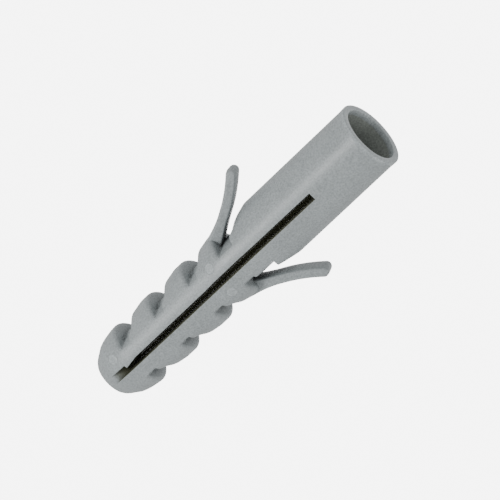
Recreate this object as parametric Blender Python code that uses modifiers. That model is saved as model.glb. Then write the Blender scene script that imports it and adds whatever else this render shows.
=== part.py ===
"""Nylon wall anchor, 10 mm x 50 mm, divided where its moulding flexes.

Frame: origin at the centre of the mouth face, +X out of the mouth, +Z towards one slit face,
+Y towards the right half as the installer faces the wall. Metres.
"""
import math

import bmesh
import bpy
from mathutils import Vector

# ---- driving dimensions ----
LENGTH = 0.050             # mouth face to nose tip
BODY_RADIUS = 0.0047       # collar and barbs
BORE_RADIUS = 0.0038       # screw hole in the collar
SLIT_END = 0.0096          # depth of the collar-side end of the slit
SLIT_HALF = 0.00056        # half width of the slit at the collar
SLIT_HALF_TIP = 0.00050    # half width of the slit at the nose
NOSE_STEP = 0.0441         # depth of the nose barb's step face
BARB_PITCH = 0.0066        # between step faces
TONGUE_STEP = 0.0250       # depth of the tongue barb's step face
SHOULDER_STEP = 0.0214     # depth where the shoulder drops into the tongue recess
NECK_HALF = 0.0034         # half width of a neck at the parting plane
DRAFT = 0.24               # inward run of a neck's side per metre away from the parting plane
WEB_GAP = 0.00020          # between the tip web and each half
JOINT_GAP = 0.0003         # clearance at each living hinge
STEP_ROUND = 0.0008        # rounding of a step's outer edge
STEP_CLEAR = 0.00002       # by which its cutter starts ahead of the step face
SPARE = 0.0005             # how far a cutter or a drafted prism stands clear of the body
RIM_CHAMFER = 0.00025      # both edges of the mouth
BORE_LEAD = 0.0015         # length of the cone from the bore down to the channel

# ---- screw channel between the halves ----
CHANNEL_MOUTH = 0.0024     # radius at the bottom of the collar's bore
CHANNEL_TIP = 0.0007       # radius where it runs out in the nose
CHANNEL_DEPTH = 0.0462

# ---- tongues ----
TONGUE_HALF_WIDTH = 0.0013
TONGUE_THICK = 0.00150     # at the parting plane
TONGUE_EDGE = 0.00105      # at its two side faces
TONGUE_REACH = 0.0092      # root to tip, along X
TONGUE_RISE = 0.0050       # root to tip, outwards
TONGUE_CURVE = 0.00055     # how far the middle bows from the straight line
TONGUE_ROOT_Y = 0.00385
SOCKET_START = -0.04       # the socket reaches below the root by this share of the tongue's length

RIGHT, LEFT = 1, -1
SIDES = {RIGHT: "right", LEFT: "left"}
TONGUE_ROOT_X = {RIGHT: -0.0256, LEFT: -0.0264}
NECKS = (TONGUE_STEP, NOSE_STEP - 2 * BARB_PITCH, NOSE_STEP - BARB_PITCH, NOSE_STEP)
NECK_HINGE_Y = 0.0020      # living hinge in the middle of a neck
SLIT_HINGE_Y = 0.0042      # living hinge in the collar's wall at the slit's end
HINGE_LEAD = 0.0004        # a neck's hinge lies this far in front of its step face

OUTSIDE = 0.0053           # a half width clear of the body, where the turned outside shapes it
FRONT_STRIP_HALF = 0.0028  # either side of the slit, the step edges keep their full height
LEG_PIECES = ("shoulder", "tongue_barb", "third_barb", "second_barb", "nose")

NYLON = (0.325, 0.345, 0.350, 1.0)
# distance from the step face towards the nose, and half width there
BARB_RAMP = ((0.0052, 0.0034), (0.0049, 0.0035), (0.0045, 0.00375), (0.0041, 0.0040), (0.0036, 0.0042),
             (0.0030, 0.00438), (0.0022, 0.00456), (0.0014, 0.00475), (0.0008, OUTSIDE))
SHOULDER_RAMP = ((0.0, 0.00412), (0.0009, 0.00436), (0.0021, 0.00462), (0.0032, OUTSIDE))
# depth and radius
NOSE_PROFILE = ((0.0440, 0.00470), (0.0452, 0.00466), (0.0463, 0.00452), (0.0472, 0.00432),
                (0.0480, 0.00402), (0.0487, 0.00366), (0.0494, 0.00320), (0.0498, 0.00280),
                (0.0500, 0.00225))
# depth and half height of the wedge across the slit
WEB_PROFILE = ((0.0456, 0.0007), (0.0483, 0.0035), (0.0489, 0.0032), (0.0494, 0.0027), (0.0495, 0.0022))


def clear_scene():
    for item in list(bpy.data.objects):
        bpy.data.objects.remove(item, do_unlink=True)


def make_collection(name):
    group = bpy.data.collections.new(name)
    bpy.context.scene.collection.children.link(group)
    return group


def nylon(name):
    """Each piece is the same grey moulded nylon, in a material of its own."""
    material = bpy.data.materials.new(name + "_nylon")
    material.use_nodes = True
    shader = material.node_tree.nodes["Principled BSDF"]
    shader.inputs["Base Color"].default_value = NYLON
    shader.inputs["Roughness"].default_value = 0.45
    shader.inputs["Metallic"].default_value = 0.0
    return material


def place(name, mesh, group, origin):
    """Link a part whose mesh is in world coordinates, with its origin on its joint's axis."""
    part = bpy.data.objects.new(name, mesh)
    for vertex in mesh.vertices:
        vertex.co -= origin
    part.location = origin
    part.parent = anchor_frame
    mesh.materials.append(nylon(name))
    group.objects.link(part)
    return part


def add_boolean(part, cutter, operation):
    modifier = part.modifiers.new(operation.title() + "_" + cutter.name, "BOOLEAN")
    modifier.operation = operation
    modifier.solver = "EXACT"
    modifier.object = cutter


def turned(name, profile, group, steps=36):
    """A solid of revolution about X; the profile runs from the collar end to the nose end."""
    mesh = bpy.data.meshes.new(name)
    points = [(radius, 0.0, axial) for axial, radius in profile]
    edges = [(i, i + 1) for i in range(len(points) - 1)]
    mesh.from_pydata(points, edges, [])
    body = bpy.data.objects.new(name, mesh)
    group.objects.link(body)
    body.rotation_euler = (0.0, math.radians(90), 0.0)
    screw = body.modifiers.new("Turn", "SCREW")
    screw.axis = "Z"
    screw.steps = steps
    screw.render_steps = steps
    screw.use_merge_vertices = True
    screw.merge_threshold = 1e-7
    screw.use_smooth_shade = True
    return body


def to_closed_mesh(source):
    """The evaluated shape of an object as a closed mesh in world coordinates; the object goes."""
    bpy.context.view_layer.update()
    graph = bpy.context.evaluated_depsgraph_get()
    mesh = bpy.data.meshes.new_from_object(source.evaluated_get(graph))
    mesh.transform(source.matrix_world)
    bpy.data.objects.remove(source)
    bm = bmesh.new()
    bm.from_mesh(mesh)
    bmesh.ops.remove_doubles(bm, verts=bm.verts, dist=1e-7)
    bmesh.ops.recalc_face_normals(bm, faces=bm.faces)
    bm.to_mesh(mesh)
    bm.free()
    return mesh


def as_cutter(body):
    body.hide_render = True
    body.display_type = "WIRE"
    return body


def drafted_half(outline, edge_outline, height):
    """Half of a drafted prism: the outline at the parting plane, open, lofted to the one above it."""
    bm = bmesh.new()
    base = [bm.verts.new((x, y, 0.0)) for x, y in outline]
    top = [bm.verts.new((x, y, height)) for x, y in edge_outline]
    count = len(base)
    for i in range(count):
        j = (i + 1) % count
        bm.faces.new((base[i], base[j], top[j], top[i]))
    bm.faces.new(top)
    area = sum(base[i].co.x * base[(i + 1) % count].co.y - base[(i + 1) % count].co.x * base[i].co.y
               for i in range(count))
    if area < 0:
        bmesh.ops.reverse_faces(bm, faces=bm.faces)
    mesh = bpy.data.meshes.new("half")
    bm.to_mesh(mesh)
    bm.free()
    return mesh


def mirror_about_parting_plane(part):
    mirror = part.modifiers.new("OtherHalf", "MIRROR")
    mirror.use_axis = (False, False, True)
    mirror.use_mirror_merge = True
    mirror.merge_threshold = 1e-7


def soften(part):
    """Shade the round stretches smooth and keep the real edges sharp."""
    part.data.shade_smooth()
    part.data.set_sharp_from_angle(angle=math.radians(30))


def slit_half(depth):
    """Half width of the slit at a depth from the mouth: it narrows evenly towards the nose."""
    share = (depth - SLIT_END) / (NOSE_STEP - SLIT_END)
    share = min(max(share, 0.0), 1.0)
    return SLIT_HALF + share * (SLIT_HALF_TIP - SLIT_HALF)


def barb_outline(step, next_step):
    """Outer edge of a barb at the parting plane, from its step face to the neck beyond it."""
    if next_step is None:
        return [(step, OUTSIDE), (LENGTH + SPARE, OUTSIDE)]
    reach = next_step - step
    edge = [(step + along, half) for along, half in reversed(BARB_RAMP) if along < reach]
    return [(step, OUTSIDE)] + edge + [(next_step, NECK_HALF)]


def shoulder_outline():
    ramp = [(SHOULDER_STEP - along, half) for along, half in reversed(SHOULDER_RAMP)]
    start = (SLIT_END, OUTSIDE)
    return [start] + ramp + [(SHOULDER_STEP, NECK_HALF), (TONGUE_STEP, NECK_HALF)]


def clip_outline(outline, first, last):
    """The part of a (depth, half width) outline between two depths."""
    kept = []
    for (d0, h0), (d1, h1) in zip(outline, outline[1:]):
        for cut in (first, last):
            if min(d0, d1) < cut < max(d0, d1):
                kept.append((cut, h0 + (h1 - h0) * (cut - d0) / (d1 - d0)))
        if first <= d1 <= last:
            kept.append((d1, h1))
    if outline[0][0] >= first:
        kept.insert(0, outline[0])
    return sorted(kept, key=lambda point: point[0])


def leg_piece(name, side, outline, envelope, hinge):
    """One stretch of a leg: a drafted side outline, inside the turned body, outside the channel."""
    inner = [(-depth, side * slit_half(depth)) for depth in (outline[-1][0], outline[0][0])]
    height = BODY_RADIUS + SPARE
    outer = [(-depth, side * half) for depth, half in outline]
    drafted = [(-depth, side * (half - DRAFT * height)) for depth, half in outline]
    mesh = drafted_half(outer + inner, drafted + inner, height)
    part = place(name, mesh, parts, hinge)
    mirror_about_parting_plane(part)
    add_boolean(part, envelope, "INTERSECT")
    add_boolean(part, screw_channel, "DIFFERENCE")
    soften(part)
    return part


def tongue_centre(side, share):
    """Centreline of a tongue, share 0 at its root and 1 at its tip."""
    bow = TONGUE_CURVE * 4 * share * (1 - share)
    x = TONGUE_ROOT_X[side] + TONGUE_REACH * share + 0.5 * bow
    return Vector((x, TONGUE_ROOT_Y + TONGUE_RISE * share - bow))


def tongue_outline(side, thick, start=0.0, rows=9):
    """Outline of a tongue in plan: two long edges and a round tip."""
    upper = []
    lower = []
    for row in range(rows):
        share = start + (1 - start) * row / (rows - 1)
        here = tongue_centre(side, share)
        along = (tongue_centre(side, share + 0.01) - tongue_centre(side, share - 0.01)).normalized()
        across = Vector((-along.y, along.x)) * thick / 2
        upper.append(here + across)
        lower.append(here - across)
    tip = []
    for turn in range(1, 6):
        angle = math.pi * turn / 6
        tip.append(here + math.cos(angle) * across + math.sin(angle) * along * thick / 2)
    loop = upper + tip + lower[::-1]
    return [(point.x, side * point.y) for point in loop]


def make_tongue(side):
    name = SIDES[side] + "_tongue"
    outline = tongue_outline(side, TONGUE_THICK)
    edge = tongue_outline(side, TONGUE_EDGE)
    mesh = drafted_half(outline, edge, TONGUE_HALF_WIDTH)
    root = tongue_centre(side, 0.0)
    part = place(name, mesh, parts, Vector((root.x, side * root.y, 0.0)))
    mirror_about_parting_plane(part)
    soften(part)
    return part


def make_tongue_socket(side):
    """The space that the tongue's root takes out of its barb, one gap larger all round."""
    wide = TONGUE_THICK + 2 * JOINT_GAP
    outline = tongue_outline(side, wide, start=SOCKET_START)
    mesh = drafted_half(outline, outline, TONGUE_HALF_WIDTH + JOINT_GAP)
    socket = bpy.data.objects.new(SIDES[side] + "_tongue_socket", mesh)
    cutters.objects.link(socket)
    mirror_about_parting_plane(socket)
    return as_cutter(socket)


def make_collar():
    end = -SLIT_END + JOINT_GAP / 2
    inner_rim = (0.0, BORE_RADIUS + RIM_CHAMFER)
    outside = [inner_rim, (0.0, BODY_RADIUS - RIM_CHAMFER), (-RIM_CHAMFER, BODY_RADIUS), (end, BODY_RADIUS)]
    bore = [(end, CHANNEL_MOUTH), (end + BORE_LEAD, BORE_RADIUS), (-RIM_CHAMFER, BORE_RADIUS), inner_rim]
    body = turned("collar_turning", outside + bore, cutters, steps=40)
    collar = place("collar", to_closed_mesh(body), parts, Vector((0.0, 0.0, 0.0)))
    soften(collar)
    return collar


def make_envelopes():
    """Turned outsides of the collar-side stretch, the barbs and the nose."""
    top = -SLIT_END - JOINT_GAP / 2
    bottom = -NOSE_STEP - SPARE
    stem = [(top, 0.0), (top, BODY_RADIUS), (bottom, BODY_RADIUS), (bottom, 0.0)]
    nose = [(-depth, radius) for depth, radius in NOSE_PROFILE] + [(-LENGTH, 0.0)]
    stem_outside = as_cutter(turned("stem_outside", stem, cutters))
    start = -NOSE_STEP + 2 * HINGE_LEAD
    nose_start = [(start, 0.0), (start, BODY_RADIUS)]
    nose_outside = as_cutter(turned("nose_outside", nose_start + nose, cutters))
    return [stem_outside] * 4 + [nose_outside]


def make_step_rounding(step):
    """The sliver outside a step's rounded edge: a ring, left whole only beside the two necks."""
    edge = []
    for turn in range(4):
        angle = math.radians(30 * turn)
        depth = step + STEP_ROUND * (1 - math.cos(angle))
        edge.append((-depth, BODY_RADIUS - STEP_ROUND * (1 - math.sin(angle))))
    near = -step + STEP_CLEAR
    outside = [(-step - STEP_ROUND, BODY_RADIUS + SPARE), (near, BODY_RADIUS + SPARE),
               (near, BODY_RADIUS - STEP_ROUND)]
    profile = edge + outside
    ring = turned("step_rounding_%d" % round(step * 1e4), profile + [profile[0]], cutters)
    add_boolean(ring, front_strip, "DIFFERENCE")
    return as_cutter(ring)


def make_front_strip():
    """The flat slab over both slit faces, which the step edges leave untouched."""
    mesh = bpy.data.meshes.new("front_strip")
    bm = bmesh.new()
    bmesh.ops.create_cube(bm, size=1.0)
    bmesh.ops.scale(bm, vec=(1.2 * LENGTH, 2 * FRONT_STRIP_HALF, 4 * BODY_RADIUS), verts=bm.verts)
    bmesh.ops.translate(bm, vec=(-LENGTH / 2, 0.0, 0.0), verts=bm.verts)
    bm.to_mesh(mesh)
    bm.free()
    slab = bpy.data.objects.new("front_strip", mesh)
    cutters.objects.link(slab)
    return as_cutter(slab)


def make_channel():
    start = -SLIT_END + SPARE
    profile = [(start, 0.0), (start, CHANNEL_MOUTH), (-SLIT_END, CHANNEL_MOUTH),
               (-CHANNEL_DEPTH, CHANNEL_TIP), (-CHANNEL_DEPTH, 0.0)]
    return as_cutter(turned("screw_channel", profile, cutters, steps=20))


def hinge_point(depth, side, half):
    return Vector((-depth, side * half, 0.0))


def make_leg(side, envelopes):
    """Shoulder, three barbs and nose of one half, each on the hinge at its collar end."""
    trim = JOINT_GAP / 2
    cuts = [SLIT_END] + [neck - HINGE_LEAD for neck in NECKS] + [LENGTH + SPARE]
    outlines = [shoulder_outline()]
    for index, step in enumerate(NECKS):
        next_step = NECKS[index + 1] if index < 3 else None
        neck = [(cuts[index + 1], NECK_HALF), (step - 1e-6, NECK_HALF)]
        outlines.append(neck + barb_outline(step, next_step))
    pieces = []
    for index, name in enumerate(LEG_PIECES):
        outline = clip_outline(outlines[index], cuts[index] + trim, cuts[index + 1] - trim)
        hinge = hinge_point(cuts[index], side, SLIT_HINGE_Y if index == 0 else NECK_HINGE_Y)
        piece = leg_piece(SIDES[side] + "_" + name, side, outline, envelopes[index], hinge)
        if index > 0:
            add_boolean(piece, step_roundings[index - 1], "DIFFERENCE")
        pieces.append(piece)
    return pieces


def make_tip_web():
    """The bridge across the slit that keeps the nose closed: a wedge that ramps up to the tip."""
    half = SLIT_HALF_TIP - WEB_GAP
    loop = [(-depth, z) for depth, z in WEB_PROFILE] + [(-depth, -z) for depth, z in reversed(WEB_PROFILE)]
    curve = bpy.data.curves.new("tip_web_outline", "CURVE")
    curve.dimensions = "2D"
    curve.fill_mode = "BOTH"
    curve.extrude = half
    spline = curve.splines.new("POLY")
    spline.points.add(len(loop) - 1)
    for point, (x, z) in zip(spline.points, loop):
        point.co = (x, z, 0.0, 1.0)
    spline.use_cyclic_u = True
    outline = bpy.data.objects.new("tip_web_outline", curve)
    cutters.objects.link(outline)
    outline.rotation_euler = (math.radians(90), 0.0, 0.0)
    return place("tip_web", to_closed_mesh(outline), parts, Vector((-WEB_PROFILE[0][0], 0.0, 0.0)))


clear_scene()
parts = make_collection("wall_anchor")
cutters = make_collection("cutters")
anchor_frame = bpy.data.objects.new("anchor_frame", None)
parts.objects.link(anchor_frame)
make_collar()
outsides = make_envelopes()
screw_channel = make_channel()
front_strip = make_front_strip()
step_roundings = [make_step_rounding(neck) for neck in NECKS]
for half in (RIGHT, LEFT):
    leg = make_leg(half, outsides)
    make_tongue(half)
    add_boolean(leg[1], make_tongue_socket(half), "DIFFERENCE")
make_tip_web()
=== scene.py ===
import math

import bmesh
import bpy
import numpy as np
from mathutils import Matrix, Vector


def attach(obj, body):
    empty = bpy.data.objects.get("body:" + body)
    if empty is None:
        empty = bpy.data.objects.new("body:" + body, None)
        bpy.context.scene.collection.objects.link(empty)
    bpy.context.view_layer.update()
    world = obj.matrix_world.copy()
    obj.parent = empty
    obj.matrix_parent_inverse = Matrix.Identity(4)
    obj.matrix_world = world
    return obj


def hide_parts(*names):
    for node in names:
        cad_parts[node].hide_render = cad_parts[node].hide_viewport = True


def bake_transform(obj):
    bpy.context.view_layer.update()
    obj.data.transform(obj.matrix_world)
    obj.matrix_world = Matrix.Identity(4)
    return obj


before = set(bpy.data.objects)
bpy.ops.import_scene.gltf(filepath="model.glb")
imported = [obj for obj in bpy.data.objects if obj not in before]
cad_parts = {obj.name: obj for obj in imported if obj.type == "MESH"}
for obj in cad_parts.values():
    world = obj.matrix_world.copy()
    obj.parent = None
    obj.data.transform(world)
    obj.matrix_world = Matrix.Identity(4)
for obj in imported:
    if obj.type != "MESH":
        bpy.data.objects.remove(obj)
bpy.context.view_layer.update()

# Grey nylon wall plug. Lengths are in millimetres and MM turns them into metres. Depth runs from the
# mouth (x = 0) to the nose (x = -50). Side 1 is the right half (+Y) and side -1 the left one.
MM = 0.001
SIDES = {1: "right", -1: "left"}
LENGTH = 50.0
RADIUS = 4.7
BORE = 3.8
SLIT_END = 9.6
NOSE_STEP, PITCH = 44.1, 6.6
STEPS = {side: tuple(d + shift for d in (25.0, NOSE_STEP - 2 * PITCH, NOSE_STEP - PITCH, NOSE_STEP))
         for side, shift in ((1, 0.0), (-1, 0.28))}

# Shoulder: where it ends, and how far its end face leans back towards the parting line.
SHOULDER_END = {1: 22.35, -1: 21.65}
SHOULDER_LEAN = {1: 0.0, -1: 0.386}
LEAN_REACH = 2.8
SHOULDER_BLEND = 0.4

# Flats between the barbs: half width at the parting line, draft per unit height, flash along the line,
# pocket in front of each step, and the rounds at its root and on the step.
NECK = 3.05
WAIST = 3.42
NECK_DRAFT = 0.18
SHOULDER_DRAFT = 0.24
CREST = 0.05
FLASH = 0.07
POCKET = 1.72
POCKET_SKEW = {1: 0.0, -1: 0.85}
ROOT_FILLET = 0.14
STEP_ROUND = 0.62
SOFT = 0.06
EDGE_ROUND = 0.06

# Depth or distance from a step, and half width at the parting line.
BARB = {1: ((0, 4.75), (1.0, 4.75), (1.75, 4.70), (2.75, 4.52), (3.75, 4.33), (4.9, 3.43), (5.4, NECK),
            (8.0, NECK)),
        -1: ((0, 4.80), (1.2, 4.80), (2.3, 4.67), (3.5, 4.50), (4.2, 4.26), (5.6, 3.32), (5.95, NECK),
             (8.0, NECK))}
SHOULDER = {1: ((9.0, 6.0), (17.2, 5.6), (18.2, 5.0), (19.2, 4.66), (20.7, 4.28), (21.6, 3.92),
                (22.6, 3.35)),
            -1: ((9.0, 6.0), (17.2, 5.6), (18.2, 5.0), (19.2, 4.67), (20.5, 4.40), (21.6, 4.16),
                 (22.6, 3.95))}
NOSE = ((44.6, RADIUS), (45.4, 4.64), (45.9, 4.57), (46.8, 4.42), (47.35, 4.27), (47.8, 4.12), (48.2, 3.90),
        (48.65, 3.64), (49.1, 3.40), (49.5, 3.13), (49.8, 2.83), (49.93, 2.5), (49.99, 2.1))

# Depth and half width of the slit, and depth and radius of the screw channel.
SLIT = {1: ((9.6, 0.50), (20.0, 0.55), (23.0, 0.60), (28.0, 0.59), (29.5, 0.53), (43.2, 0.52), (45.2, 0.24),
            (45.3, 0.66), (50.0, 0.66)),
        -1: ((9.6, 0.565), (24.0, 0.53), (44.0, 0.49), (50.0, 0.46))}
CHANNEL = ((9.6, 2.4), (46.2, 0.7), (46.4, 0.35), (50.0, 0.35))

# Ramp that closes the slit: depth, half height, and how much painted shade it takes, darkest at its deep end.
WEB_END = 48.4
WEB_RAMP = ((46.0, 0.3, 1.0), (46.02, 2.6, 1.0), (46.2, 2.8, 1.0), (46.6, 3.0, 0.85), (47.0, 3.26, 0.55),
            (47.4, 3.56, 0.28), (47.8, 3.80, 0.05), (48.1, 3.84, 0.0), (48.4, 3.80, 0.0))

# Tongue: root, run and rise of its centre line, bow, and the size of its section.
TONGUE_ROOT = {1: -25.6, -1: -26.4}
TONGUE_ROOT_Y = 3.85
TONGUE_RUN, TONGUE_RISE, TONGUE_BOW = 9.2, 5.0, 0.55
TONGUE_HALF, TONGUE_HALF_EDGE, TONGUE_HALF_WIDTH = 0.78, 0.66, 1.38
TONGUE_END = 0.945
TONGUE_TIP = 0.62
TONGUE_SQUARE = 0.32
TONGUE_COLUMNS = 64

# Skins of a half from the sleeve to the nose, and the depths between which each one reaches.
SKINS = ("root", "waist", "third_joint", "second_joint", "nose")
CUTS = (SLIT_END, 17.0, 27.8, 34.4, 41.0, 99.0)

# Mesh columns round a half: outside, each slit face, channel; and round the collar.
OUTER_COLUMNS, FACE_COLUMNS, CHANNEL_COLUMNS, COLLAR_COLUMNS = 88, 14, 14, 160

# Moulded rings on the front: depth and y.
MARKS = ((46.1, 2.2), (26.95, 2.2), (27.1, -2.0))

# Colours: the nylon's grey and the olive of the painted shade on the inner walls, and the floor in metres.
GREY = (0.312, 0.341, 0.347)
SHADE_OLIVE = (0.32, 0.33, 0.20)
FLOOR_HALF, FLOOR_Z = 0.8, -0.6


def smooth_profile(points, depth, width=0.22):
    """A profile read at a depth, averaged over a short length so its corners are soft."""
    xs, ys = zip(*points)
    offsets = np.linspace(-width, width, 9)[:, None]
    return np.interp(np.atleast_1d(depth)[None, :] + offsets, xs, ys).mean(axis=0)


def smooth_min(a, b, k):
    h = np.maximum(k - np.abs(a - b), 0.0) / k
    return np.minimum(a, b) - h * h * k / 4


def smooth_max(a, b, k):
    return -smooth_min(-a, -b, k)


def envelope(depth):
    return np.interp(depth, *zip(*NOSE))


def slit_wall(depth, side):
    return float(np.interp(depth, *zip(*SLIT[side])))


def drafted(half, theta, draft):
    """Radius of a flat at a half width, leaning in on both sides of the parting line."""
    rise = np.sqrt(np.sin(theta) ** 2 + CREST ** 2)
    return half / np.maximum(np.cos(theta) + draft * rise, 0.05)


def fade(theta, first, last):
    """1 at the parting line, falling smoothly to 0 towards a slit face; angles in degrees."""
    t = np.clip((np.degrees(np.abs(theta)) - first) / (last - first), 0.0, 1.0)
    return 1 - t * t * (3 - 2 * t)


def pocket_floor(depth, theta, step):
    """The drafted flat in front of a step, with a fillet where it meets the step face."""
    before = np.clip(ROOT_FILLET - (step - depth), 0.0, ROOT_FILLET)
    rise = ROOT_FILLET - np.sqrt(ROOT_FILLET ** 2 - before ** 2)
    return drafted(NECK + rise, theta, NECK_DRAFT) + FLASH * np.exp(-(theta / 0.035) ** 2)


def shoulder_radius(depth, theta, side):
    full = envelope(depth)
    profile = smooth_profile(SHOULDER[side], depth)
    if side < 0:
        return smooth_min(full, drafted(profile, theta, SHOULDER_DRAFT), SHOULDER_BLEND)
    return full - (full - np.minimum(profile, full)) * fade(theta, 15, 55)


def neck_radius(depth, theta, side):
    """The waist behind the shoulder; on the left it is fuller until the pocket starts."""
    step = STEPS[side][0]
    floor = pocket_floor(depth, theta, step)
    if side < 0:
        waist = drafted(WAIST, theta, NECK_DRAFT)
        floor = waist + (floor - waist) * np.clip((depth - step + POCKET) / 0.12, 0.0, 1.0)
    return smooth_min(envelope(depth), floor, SOFT)


def barb_radius(depth, theta, index, side):
    """A barb from its step to the pocket in front of the next one; the last barb is the nose."""
    full = envelope(depth)
    start = STEPS[side][index]
    shape = full + 0 * theta
    if index < 3:
        after = STEPS[side][index + 1]
        tail = smooth_profile(BARB[side], depth - (after - PITCH))
        shape = full - np.maximum(full - tail, 0.0) * fade(theta, 25, 60)
        mouth = after - POCKET + POCKET_SKEW[side] * fade(theta, 12, 48)
        cut = smooth_min(shape, pocket_floor(depth, theta, after), SOFT)
        shape = shape + (cut - shape) * np.clip((depth - mouth) / 0.12, 0.0, 1.0)
    left = np.maximum(STEP_ROUND - np.maximum(depth - start, 0.0), 0.0)
    drop = STEP_ROUND - np.sqrt(STEP_ROUND ** 2 - left ** 2)
    neck = smooth_min(full, pocket_floor(depth * 0 + start, theta, start), SOFT)
    rounded_step = np.minimum(smooth_max(neck, shape - drop, 0.05), shape)
    return np.where(left > 0, rounded_step, shape)


def side_radius(depth, theta, zone, side):
    """Radius of a half's outside. Zone 0 is the shoulder, 1 the waist, and 2 to 5 the barbs and nose."""
    if zone == 0:
        return shoulder_radius(depth, theta, side)
    if zone == 1:
        return neck_radius(depth, theta, side)
    return barb_radius(depth, theta, zone - 2, side)


def row_depths(side):
    """(depth, zone) of the cross-sections: even along the plain stretches and close together at each step."""
    after = (0.02, 0.05, 0.10, 0.17, 0.26, 0.36, 0.48, 0.62, 0.78, 0.95, 1.15)
    before = (0.03, 0.08, 0.14, 0.21, 0.29, 0.38, 0.48)
    mouth = (-0.01, 0.02, 0.05, 0.08, 0.11, 0.14)
    tip = (49.42, 49.5, 49.58, 49.66, 49.74, 49.8, 49.86, 49.91, 49.95, 49.98)
    steps = STEPS[side]
    ends = (SHOULDER_END[side],) + steps
    depths = {round(float(d), 4) for d in np.arange(SLIT_END + 0.2, LENGTH - 0.6, 0.2)}
    for step in ends:
        barb = step in steps
        depths = {d for d in depths if not step - 0.5 < d < step + (1.2 if barb else 0.14)}
        depths |= {round(step - n, 4) for n in before}
        depths |= {round(step - POCKET + n, 4) for n in mouth if barb}
        depths |= {round(step + n, 4) for n in (after if barb else (0.05, 0.12))}
    depths |= {SLIT_END, SLIT_END + 0.06, 45.2, 45.3, WEB_END, WEB_END + 0.02, *tip}
    rows = [(d, sum(d > step for step in ends)) for d in depths]
    for zone, step in enumerate(ends):
        rows += [(step, zone), (round(step + 0.002, 4), zone + 1)]
    return sorted(rows)


def section(depth, zone, side):
    """One closed cross-section of a half, as (x, y, z) for the right-hand side, from the front edge round.

    Also returns which of its points lie inside the slit or the channel, where they get painted shade."""
    closed = depth > WEB_END
    wall = 0.0 if closed else slit_wall(depth, side)
    lean = SHOULDER_LEAN[side] * max(0.0, 1.0 - abs(depth - SHOULDER_END[side]) / LEAN_REACH)

    def radius(theta):
        return side_radius(depth - lean * 4.3 * np.abs(np.sin(theta)), theta, zone, side)

    # outside, from the front edge of the slit face round to the back edge
    probe = np.linspace(0, math.pi / 2, 400)
    reach = radius(probe) * np.cos(probe)
    edge = float(np.interp(wall, reach[::-1], probe[::-1])) if wall > 0 else math.pi / 2
    rim = float(radius(np.array([edge]))[0])
    front = rim * math.sin(edge)
    round_edge = 0.004 if closed else EDGE_ROUND
    turn = edge - round_edge / rim
    theta = np.linspace(turn, -turn, OUTER_COLUMNS)
    outer = [(r * math.cos(t), r * math.sin(t)) for r, t in zip(radius(theta), theta)]

    # slit face from the back edge in to the channel
    deep = 0.02 if closed else float(np.interp(depth, *zip(*CHANNEL)))
    top = front - round_edge
    low = min(math.sqrt(max(deep ** 2 - wall ** 2, 0.05 ** 2)), top * 0.4)
    face = [(wall, -(top + (low - top) * s)) for s in np.linspace(0, 1, FACE_COLUMNS)]

    # small round between the outside and the face
    start, knee, end = outer[-1], (wall, -front), face[0]
    soft = []
    for s in (0.25, 0.5, 0.75):
        a, b, c = (1 - s) ** 2, 2 * s * (1 - s), s * s
        soft.append((a * start[0] + b * knee[0] + c * end[0], a * start[1] + b * knee[1] + c * end[1]))

    arc = np.linspace(-1, 1, CHANNEL_COLUMNS + 2)[1:-1]
    hollow = [(max(wall, math.sqrt(max(deep ** 2 - (low * a) ** 2, 0.0))), low * a) for a in arc]
    mirrored = [(y, -z) for y, z in face[::-1] + soft[::-1]]
    points = outer + soft + face + hollow + mirrored
    # painted shade: full on the slit faces and the channel, none on the outside
    inside = [0.0] * (OUTER_COLUMNS + 3) + [1.0] * (2 * FACE_COLUMNS + CHANNEL_COLUMNS) + [0.0] * 3
    return [(-depth + lean * abs(z), y, z) for y, z in points], inside


def shell_mesh(name, rows, ring=False):
    """A tube through rows of points, each row a loop of the same count; a ring also joins its two ends."""
    count = len(rows[0])
    faces = []
    for r in range(len(rows) if ring else len(rows) - 1):
        q = (r + 1) % len(rows)
        for c in range(count):
            n = (c + 1) % count
            faces.append((r * count + c, r * count + n, q * count + n, q * count + c))
    mesh = bpy.data.meshes.new(name)
    mesh.from_pydata([p for row in rows for p in row], [], faces)
    return mesh


def closed_skin(name, rows, sharp, ring=False):
    """A smooth-shaded solid through rows of points, capped at both ends unless it is a ring."""
    mesh = shell_mesh(name, rows, ring)
    count = len(rows[0])
    bm = bmesh.new()
    bm.from_mesh(mesh)
    if not ring:
        bm.verts.ensure_lookup_table()
        bm.faces.new([bm.verts[i] for i in range(count)])
        bm.faces.new([bm.verts[i] for i in range(len(bm.verts) - count, len(bm.verts))])
    bmesh.ops.recalc_face_normals(bm, faces=bm.faces)
    bm.to_mesh(mesh)
    bm.free()
    mesh.shade_smooth()
    mesh.set_sharp_from_angle(angle=math.radians(sharp))
    return mesh


def paint_light_points(mesh, values):
    """Painted shade: 1 darkens a point's colour to the painted shade of the inside; below 0 paints it paler
    than the outside, a painted highlight.
    """
    painted_light = mesh.attributes.new("painted_light", "FLOAT", "POINT")
    painted_light.data.foreach_set("value", values)


def object_from(name, mesh):
    piece = bpy.data.objects.new(name, mesh)
    bpy.context.scene.collection.objects.link(piece)
    return piece


def leg_rows(side):
    """All cross-sections of a half, their depths, and the painted shade of every point, dark on the slit and
    channel walls.
    """
    rows = []
    depths = []
    painted_light_values = []
    for depth, zone in row_depths(side):
        points, inside = section(depth, zone, side)
        rows.append([(x * MM, side * y * MM, z * MM) for x, y, z in points])
        depths.append(depth)
        painted_light_values += inside
    last = rows[-1]
    for share, extra in ((0.75, 0.012), (0.5, 0.024), (0.25, 0.032), (0.02, 0.035)):
        rows.append([(x - extra * MM, y * share, z * share) for x, y, z in last])
        depths.append(LENGTH)
        painted_light_values += [0.0] * len(last)
    return rows, depths, painted_light_values


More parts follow.
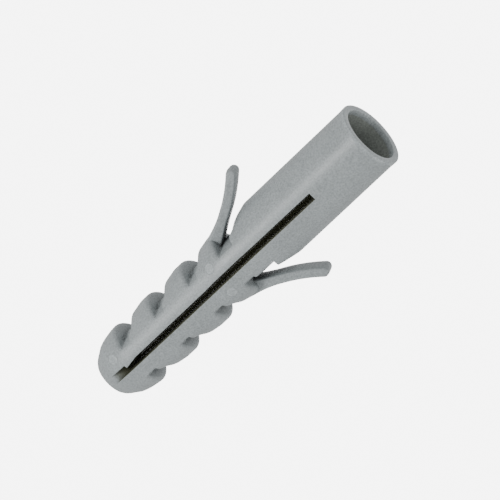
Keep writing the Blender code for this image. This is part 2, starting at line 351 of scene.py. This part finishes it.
def cut_mesh(name, rows, first, last, full, corner, side):
    """The part of a half between two rows, capped, with the shading normals of the whole half."""
    count = len(rows[0])
    bm = bmesh.new()
    lookup = {(r, c): bm.verts.new(rows[r][c]) for r in range(first, last + 1) for c in range(count)}
    made = []
    for r in range(first, last):
        for c in range(count):
            loops = full.polygons[r * count + c].loop_indices
            keys = [divmod(full.loops[loop].vertex_index, count) for loop in loops]
            made.append(([lookup[key] for key in keys], [corner[loop] for loop in loops]))
    for end, flip in ((first, False), (last, True)):
        cap = [lookup[(end, c)] for c in range(count)]
        made.append((cap if (side < 0) != flip else cap[::-1], None))
    for loop, _ in made:
        bm.faces.new(loop)
    bm.normal_update()
    mesh = bpy.data.meshes.new(name)
    bm.to_mesh(mesh)
    bm.free()
    mesh.shade_smooth()
    normals = []
    for poly, (loop, values) in zip(mesh.polygons, made):
        normals += [tuple(v) for v in (values if values is not None else [poly.normal] * len(loop))]
    mesh.normals_split_custom_set(normals)
    return mesh


def leg_pieces(side):
    """The skins of one half, cut in mid barb so that each spans one hinge only."""
    rows, depths, painted_light_values = leg_rows(side)
    full = shell_mesh("leg_full", rows)
    if side < 0:
        full.flip_normals()
    full.shade_smooth()
    full.set_sharp_from_angle(angle=math.radians(33))
    corner = np.empty(len(full.loops) * 3, np.float32)
    full.corner_normals.foreach_get("vector", corner)
    corner = corner.reshape(-1, 3)
    count = len(rows[0])
    ends = [min(range(len(depths)), key=lambda i: abs(depths[i] - cut)) for cut in CUTS]
    pieces = {}
    for name, first, last in zip(SKINS, ends, ends[1:]):
        mesh = cut_mesh(f"{SIDES[side]}_{name}", rows, first, last, full, corner, side)
        paint_light_points(mesh, painted_light_values[first * count:(last + 1) * count])
        pieces[name] = object_from(f"{SIDES[side]}_{name}_skin", mesh)
    bpy.data.meshes.remove(full)
    return pieces


def make_collar():
    """The turned sleeve: rounded rim, bore, and the floor where the slit body starts."""
    rim = [(-0.2, BORE), (0.0, BORE + 0.06), (0.06, BORE + 0.2), (0.07, RADIUS - 0.12), (0.04, RADIUS - 0.02),
           (-0.04, RADIUS + 0.04), (-0.5, RADIUS + 0.03), (-1.1, RADIUS)]
    profile = rim + [(-SLIT_END, RADIUS), (-SLIT_END, 2.4), (-8.2, BORE)]
    fine = []
    for (x, r), (nx, nr) in zip(profile, profile[1:] + profile[:1]):
        parts = max(1, int(math.hypot(nx - x, nr - r) / 0.6))
        fine += [(x + (nx - x) * s / parts, r + (nr - r) * s / parts) for s in range(parts)]
    turns = [2 * math.pi * i / COLLAR_COLUMNS for i in range(COLLAR_COLUMNS)]
    rows = [[(x * MM, r * math.cos(t) * MM, r * math.sin(t) * MM) for t in turns] for x, r in fine]
    mesh = closed_skin("collar_skin", rows, 40, ring=True)
    painted_light_values = []
    for x, y, z in (vertex.co for vertex in mesh.vertices):
        in_bore = x < -0.3 * MM and math.hypot(y, z) / MM < BORE + 0.01
        on_rim = x > -0.25 * MM
        # painted shade in the bore and a painted highlight on the rim
        painted_light_values.append(0.22 if in_bore else (-0.7 if on_rim else 0.0))
    paint_light_points(mesh, painted_light_values)
    return object_from("collar_skin", mesh)


def tongue_centre(side, share):
    """The middle of the tongue at a share of the way from its root to its tip."""
    bow = TONGUE_BOW * 4 * share * (1 - share)
    out = 0.15 * min(1.0, max(0.0, share / 0.4))
    return Vector((TONGUE_ROOT[side] + TONGUE_RUN * share + 0.5 * bow,
                   TONGUE_ROOT_Y + TONGUE_RISE * share - bow + out))


def tongue_ring(side, share, here, across, fat, wide):
    """A nearly square section with a ridge along the parting line, fuller at the root."""
    root = max(0.0, 0.34 - share) / 0.34
    outer_extra = {1: 0.12, -1: 0.22}[side] * min(1.0, root) ** 1.5
    inner_extra = 0.6 * root ** 1.6
    half, half_edge = TONGUE_HALF * fat, TONGUE_HALF_EDGE * fat
    ring = []
    for k in range(TONGUE_COLUMNS):
        angle = 2 * math.pi * k / TONGUE_COLUMNS
        c, s = math.cos(angle), math.sin(angle)
        z = wide * math.copysign(abs(s) ** TONGUE_SQUARE, s)
        ridge = half_edge + (half - half_edge) * (1 - min(1.0, abs(z) / wide))
        offset = ridge * math.copysign(abs(c) ** TONGUE_SQUARE, c)
        offset += outer_extra if offset > 0 else -inner_extra
        point = here + across * offset
        ring.append((point.x * MM, side * point.y * MM, z * MM))
    return ring


def make_tongue(side):
    """A curved tongue that thickens into the barb it grows from and ends in a rounded tip."""
    rows = []
    for share in np.linspace(-0.10, TONGUE_END, 48):
        here = tongue_centre(side, share)
        along = (tongue_centre(side, share + 0.01) - tongue_centre(side, share - 0.01)).normalized()
        across = Vector((-along.y, along.x))
        rows.append(tongue_ring(side, share, here, across, 1.0, TONGUE_HALF_WIDTH))
    for turn in (0.2, 0.4, 0.58, 0.74, 0.87, 0.96, 0.995):
        fat = math.sqrt(1 - turn ** 2)
        wide = TONGUE_HALF_WIDTH * (0.72 + 0.28 * fat)
        rows.append(tongue_ring(side, TONGUE_END, here + along * TONGUE_TIP * turn, across, fat, wide))
    name = f"{SIDES[side]}_tongue_skin"
    return object_from(name, closed_skin(name, rows, 50))


def make_web():
    """The ramp that closes the slit at the tip, and the solid tip beyond it."""
    stations = list(WEB_RAMP)
    for depth in np.linspace(WEB_END + 0.05, 49.3, 6):
        stations.append((depth, float(envelope(depth)) - 0.02, 0.0))
    rows = []
    painted_light_values = []
    for depth, height, shade in stations:
        y0, y1 = -slit_wall(depth, -1) - 0.02, slit_wall(depth, 1) + 0.02
        if depth > WEB_END:
            y0, y1, height = -0.3, 0.3, height - 0.15
        ys = np.linspace(y0, y1, 7)
        rows.append([(-depth * MM, y * MM, height * MM) for y in ys]
                    + [(-depth * MM, y * MM, -height * MM) for y in ys[::-1]])
        # painted shade on the ramp, darkest where it meets the slit
        painted_light_values += [shade] * 14
    mesh = closed_skin("tip_web_skin", rows, 40)
    paint_light_points(mesh, painted_light_values)
    return object_from("tip_web_skin", mesh)


def remap(tree, source, low, high, first, second, clamp=True, smooth=False):
    """A socket whose value is the source taken from low..high to first..second."""
    made = tree.nodes.new("ShaderNodeMapRange")
    made.clamp = clamp
    if smooth:
        made.interpolation_type = "SMOOTHSTEP"
    for key, value in (("From Min", low), ("From Max", high), ("To Min", first), ("To Max", second)):
        made.inputs[key].default_value = value
    tree.links.new(source, made.inputs["Value"])
    return made.outputs["Result"]


def maths(tree, operation, *values):
    """The result of a math node on sockets or plain numbers."""
    made = tree.nodes.new("ShaderNodeMath")
    made.operation = operation
    for socket, value in zip(made.inputs, values):
        if isinstance(value, float):
            socket.default_value = value
        else:
            tree.links.new(value, socket)
    return made.outputs["Value"]


def noise(tree, place, scale, detail, roughness):
    made = tree.nodes.new("ShaderNodeTexNoise")
    made.inputs["Scale"].default_value = scale
    made.inputs["Detail"].default_value = detail
    made.inputs["Roughness"].default_value = roughness
    tree.links.new(place, made.inputs["Vector"])
    return made.outputs["Fac"]


def attribute(tree, name):
    made = tree.nodes.new("ShaderNodeAttribute")
    made.attribute_name = name
    return made


def moulded_rings(tree, split):
    """Height of the shallow moulded rings on the front, 0.2 away from them."""
    flat = tree.nodes.new("ShaderNodeCombineXYZ")
    tree.links.new(split.outputs["X"], flat.inputs["X"])
    tree.links.new(split.outputs["Y"], flat.inputs["Y"])
    nearest = None
    for depth, y in MARKS:
        gap = tree.nodes.new("ShaderNodeVectorMath")
        gap.operation = "DISTANCE"
        gap.inputs[1].default_value = (-depth * MM, y * MM, 0)
        tree.links.new(flat.outputs["Vector"], gap.inputs[0])
        here = gap.outputs["Value"]
        nearest = here if nearest is None else maths(tree, "MINIMUM", nearest, here)
    behind = maths(tree, "LESS_THAN", split.outputs["Z"], 0.002)
    away = maths(tree, "MULTIPLY_ADD", behind, 0.01, nearest)
    ring = tree.nodes.new("ShaderNodeValToRGB")
    stops = ring.color_ramp.elements
    stops[0].color = (0.45, 0.45, 0.45, 1)
    stops[1].position = 0.82
    stops[1].color = (0.2, 0.2, 0.2, 1)
    for position, value in ((0.34, 0.55), (0.50, 1.00), (0.62, 0.60), (0.72, 0.05)):
        stops.new(position).color = (value, value, value, 1)
    tree.links.new(remap(tree, away, 0.0, 0.001, 0.0, 1.0), ring.inputs["Fac"])
    return ring.outputs["Color"]


def bumped(tree, height, strength, distance, normal=None):
    made = tree.nodes.new("ShaderNodeBump")
    made.inputs["Strength"].default_value = strength
    made.inputs["Distance"].default_value = distance
    tree.links.new(height, made.inputs["Height"])
    if normal is not None:
        tree.links.new(normal, made.inputs["Normal"])
    return made.outputs["Normal"]


def nylon_material(name):
    """Grey nylon: cloudy tone, fine speckle, painted shade in the corners, a painted olive shade and a duller
    finish on the inside, a painted highlight on the rim.
    """
    material = bpy.data.materials.new(name)
    material.use_nodes = True
    tree = material.node_tree
    links = tree.links
    shader = tree.nodes["Principled BSDF"]
    place = attribute(tree, "rest").outputs["Vector"]
    painted_light = attribute(tree, "painted_light").outputs["Fac"]
    split = tree.nodes.new("ShaderNodeSeparateXYZ")
    links.new(place, split.inputs["Vector"])
    cloud = noise(tree, place, 260.0, 5.0, 0.55)
    speck = noise(tree, place, 4600.0, 2.0, 0.5)
    rings = moulded_rings(tree, split)

    # brightness: cloud, speckle, rings, a painted light step at the witness line beside the slit, painted
    # shade inside the slit and bore with a painted highlight on the rim, and painted shade in the corners
    corners = tree.nodes.new("ShaderNodeAmbientOcclusion")
    corners.samples = 8
    corners.inputs["Distance"].default_value = 0.0018
    factors = (remap(tree, speck, 0.3, 0.7, 0.80, 1.20),
               remap(tree, rings, 0.0, 1.0, 0.92, 1.32),
               # painted light: paler on the +Y side of a line about 0.4 mm off the axis, darker on the other
               # side
               remap(tree, split.outputs["Y"], 0.00038, 0.00050, 0.975, 1.02),
               # painted shade on the inside, paler where the value is below 0 (painted highlight on the rim)
               remap(tree, painted_light, 0.0, 1.0, 1.0, 0.55, clamp=False),
               # painted shade in corners and creases, from occlusion
               remap(tree, corners.outputs["AO"], 0.05, 0.85, 0.25, 1.0, smooth=True))
    bright = remap(tree, cloud, 0.3, 0.7, 0.94, 1.06)
    for factor in factors:
        bright = maths(tree, "MULTIPLY", bright, factor)

    # painted shade: the grey turns olive where the painted light value marks the inside
    hue = tree.nodes.new("ShaderNodeMix")
    hue.data_type = "RGBA"
    grey, shade_olive = [socket for socket in hue.inputs if socket.type == "RGBA"]
    grey.default_value = (*GREY, 1)
    shade_olive.default_value = (*SHADE_OLIVE, 1)
    links.new(painted_light, hue.inputs[0])
    tint = tree.nodes.new("ShaderNodeVectorMath")
    tint.operation = "SCALE"
    links.new(next(socket for socket in hue.outputs if socket.type == "RGBA"), tint.inputs[0])
    links.new(bright, tint.inputs["Scale"])
    links.new(tint.outputs["Vector"], shader.inputs["Base Color"])

    rough = remap(tree, cloud, 0.3, 0.7, 0.34, 0.44)
    links.new(maths(tree, "MULTIPLY_ADD", painted_light, 0.5, rough), shader.inputs["Roughness"])
    grain = bumped(tree, speck, 0.25, 0.00003)
    links.new(bumped(tree, rings, 0.8, 0.00008, grain), shader.inputs["Normal"])
    shader.inputs["Specular IOR Level"].default_value = 0.4
    return material


def dress(piece, material):
    """Give a skin its material, and the rest positions from which the grain is drawn, so that it stays on the
    surface if the skin moves.
    """
    rest = piece.data.attributes.new("rest", "FLOAT_VECTOR", "POINT")
    rest.data.foreach_set("vector", [value for vertex in piece.data.vertices for value in vertex.co])
    piece.data.materials.clear()
    piece.data.materials.append(material)


def build():
    nylon = nylon_material("grey_nylon")
    collar = make_collar()
    dress(collar, nylon)
    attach(collar, "collar")
    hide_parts("collar")
    for side, word in SIDES.items():
        pieces = leg_pieces(side)
        chain = (("root", "collar", word + "_shoulder", 9.6, 12.6),
                 ("waist", word + "_shoulder", word + "_tongue_barb", 23.2, 25.0),
                 ("third_joint", word + "_tongue_barb", word + "_third_barb", 29.3, 30.9),
                 ("second_joint", word + "_third_barb", word + "_second_barb", 35.9, 37.5),
                 ("nose", word + "_second_barb", word + "_nose", 42.5, 44.1))
        for name, a, b, start, end in chain:
            piece = pieces[name]
            dress(piece, nylon)
            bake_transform(piece)
            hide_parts(b)
        tongue = make_tongue(side)
        dress(tongue, nylon)
        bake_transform(tongue)
        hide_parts(word + "_tongue")
    web = make_web()
    dress(web, nylon)
    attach(web, "right_nose")
    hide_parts("tip_web")


def camera():
    """A long lens that looks down on the slit face and a little into the mouth."""
    data = bpy.data.cameras.new("camera")
    data.lens = 252.0
    data.sensor_width = 36.0
    data.clip_start, data.clip_end = 0.05, 5.0
    cam = bpy.data.objects.new("camera", data)
    right = Vector((0.65953, -0.72005, -0.21575))
    up = Vector((0.62153, 0.68382, -0.38222))
    back = Vector((0.42275, 0.11799, 0.89853))
    turn = Matrix((right, up, back)).transposed()
    cam.matrix_world = Matrix.Translation(Vector((165.897, 52.563, 401.650)) * MM) @ turn.to_4x4()
    bpy.context.scene.collection.objects.link(cam)
    bpy.context.scene.camera = cam


def area_light(name, where, aim, size, power, colour=(1, 1, 1)):
    data = bpy.data.lights.new(name, "AREA")
    data.shape = "DISK"
    data.size = size
    data.energy = power
    data.color = colour
    lamp = bpy.data.objects.new(name, data)
    lamp.location = where
    lamp.rotation_mode = "QUATERNION"
    lamp.rotation_quaternion = (Vector(aim) - Vector(where)).to_track_quat("-Z", "Y")
    bpy.context.scene.collection.objects.link(lamp)


def studio():
    """White paper under the plug, glowing where the camera sees it, with a key and a fill light."""
    mesh = bpy.data.meshes.new("floor")
    half, z = FLOOR_HALF, FLOOR_Z
    corners = [(-half, -half, z), (half, -half, z), (half, half, z), (-half, half, z)]
    mesh.from_pydata(corners, [], [(0, 1, 2, 3)])
    floor = bpy.data.objects.new("floor", mesh)
    bpy.context.scene.collection.objects.link(floor)
    paper = bpy.data.materials.new("white_paper")
    paper.use_nodes = True
    nodes, links = paper.node_tree.nodes, paper.node_tree.links
    shader = nodes["Principled BSDF"]
    shader.inputs["Base Color"].default_value = (0.95, 0.95, 0.95, 1)
    shader.inputs["Roughness"].default_value = 0.9
    place = nodes.new("ShaderNodeTexCoord")
    centre = nodes.new("ShaderNodeVectorMath")
    centre.operation = "DISTANCE"
    centre.inputs[1].default_value = (-0.307, -0.079, z)
    links.new(place.outputs["Object"], centre.inputs[0])
    glow = remap(paper.node_tree, centre.outputs["Value"], 0.12, 0.22, 6.0, 0.0, smooth=True)
    links.new(glow, shader.inputs["Emission Strength"])
    shader.inputs["Emission Color"].default_value = (1, 1, 1, 1)
    floor.data.materials.append(paper)
    world = bpy.data.worlds.new("studio")
    world.use_nodes = True
    world.node_tree.nodes["Background"].inputs["Color"].default_value = (1, 1, 1, 1)
    world.node_tree.nodes["Background"].inputs["Strength"].default_value = 0.70
    bpy.context.scene.world = world
    area_light("key", (-0.19, 0.195, 0.306), (-0.025, 0, 0), 0.10, 0.85)
    area_light("fill", (0.05, -0.40, 0.16), (-0.025, 0, 0), 0.40, 0.6)


build()
camera()
studio()
